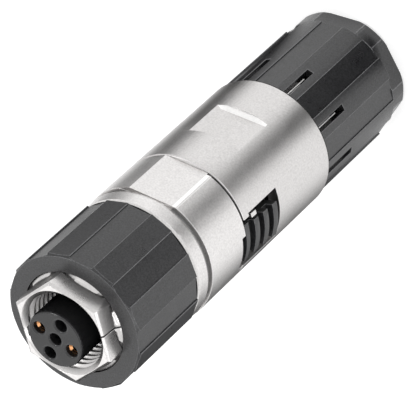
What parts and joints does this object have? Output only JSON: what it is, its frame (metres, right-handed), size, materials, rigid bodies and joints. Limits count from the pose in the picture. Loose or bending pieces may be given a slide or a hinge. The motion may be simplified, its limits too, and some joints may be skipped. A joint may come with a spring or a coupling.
{
  "type": "m12 connector",
  "caption": "Straight shielded M12 female cable connector with a reverse key, faceted coupling grip, ribbed release latches and a slotted gland nut.",
  "frame": {"origin": "centre of the rear end face that it stands on", "axes": "+Z along the axis towards the socket end, -Y out of the front wrench flat, -X out of the left latch"},
  "size_m": [0.0208, 0.0202, 0.0736],
  "materials": {
    "nickel_die_cast": "satin nickel on die-cast metal",
    "nickel_brass": "satin nickel on brass",
    "spring_steel": "bright spring steel",
    "gold_contact": "gold-plated copper alloy",
    "black_plastic": "finely grained black nylon",
    "insert_plastic": "smooth dark plastic",
    "seal_rubber": "black nitrile rubber"
  },
  "bodies": {
    "gland_nut": {"rear_nut": "black_plastic", "thrust_ring": "black_plastic"},
    "cable_clamp": {"clamp_cage": "black_plastic", "cable_seal": "seal_rubber"},
    "main_body": {"front_housing": "nickel_die_cast", "rear_sleeve": "nickel_die_cast", "shield_ring": "nickel_brass", "shield_spring": "spring_steel", "wire_carrier": "black_plastic", "terminal_block": "insert_plastic", "contact_carrier": "insert_plastic", "carrier_seal": "seal_rubber", "socket_contact_2": "gold_contact", "socket_contact_4": "gold_contact", "retaining_ring": "spring_steel", "coupling_seal": "seal_rubber"},
    "latch_left": {"release_latch_left": "black_plastic"},
    "latch_right": {"release_latch_right": "black_plastic"},
    "coupling": {"coupling_nut": "nickel_brass", "grip_ring": "black_plastic"}
  },
  "joints": [
    {"name": "gland_turn", "type": "hinge", "parent": "gland_nut", "child": "cable_clamp", "pos_m": [0, 0, 0.02], "axis": [0, 0, 1], "range_deg": [0, 1440]},
    {"name": "gland_travel", "type": "slide", "parent": "cable_clamp", "child": "main_body", "axis": [0, 0, 1], "range_m": [0, 0.004]},
    {"name": "latch_press_left", "type": "hinge", "parent": "main_body", "child": "latch_left", "pos_m": [-0.0088, 0, 0.04184], "axis": [0, -1, 0], "range_deg": [0, 12], "stiffness_Nm_per_rad": 0.1},
    {"name": "latch_press_right", "type": "hinge", "parent": "main_body", "child": "latch_right", "pos_m": [0.0088, 0, 0.04184], "axis": [0, 1, 0], "range_deg": [0, 12], "stiffness_Nm_per_rad": 0.1},
    {"name": "coupling_spin", "type": "hinge", "parent": "main_body", "child": "coupling", "pos_m": [0, 0, 0.065], "axis": [0, 0, 1], "continuous": true}
  ],
  "couplings": [
    {"joint": "gland_turn", "follows": "gland_travel", "rad_per_m": 6283.2}
  ]
}
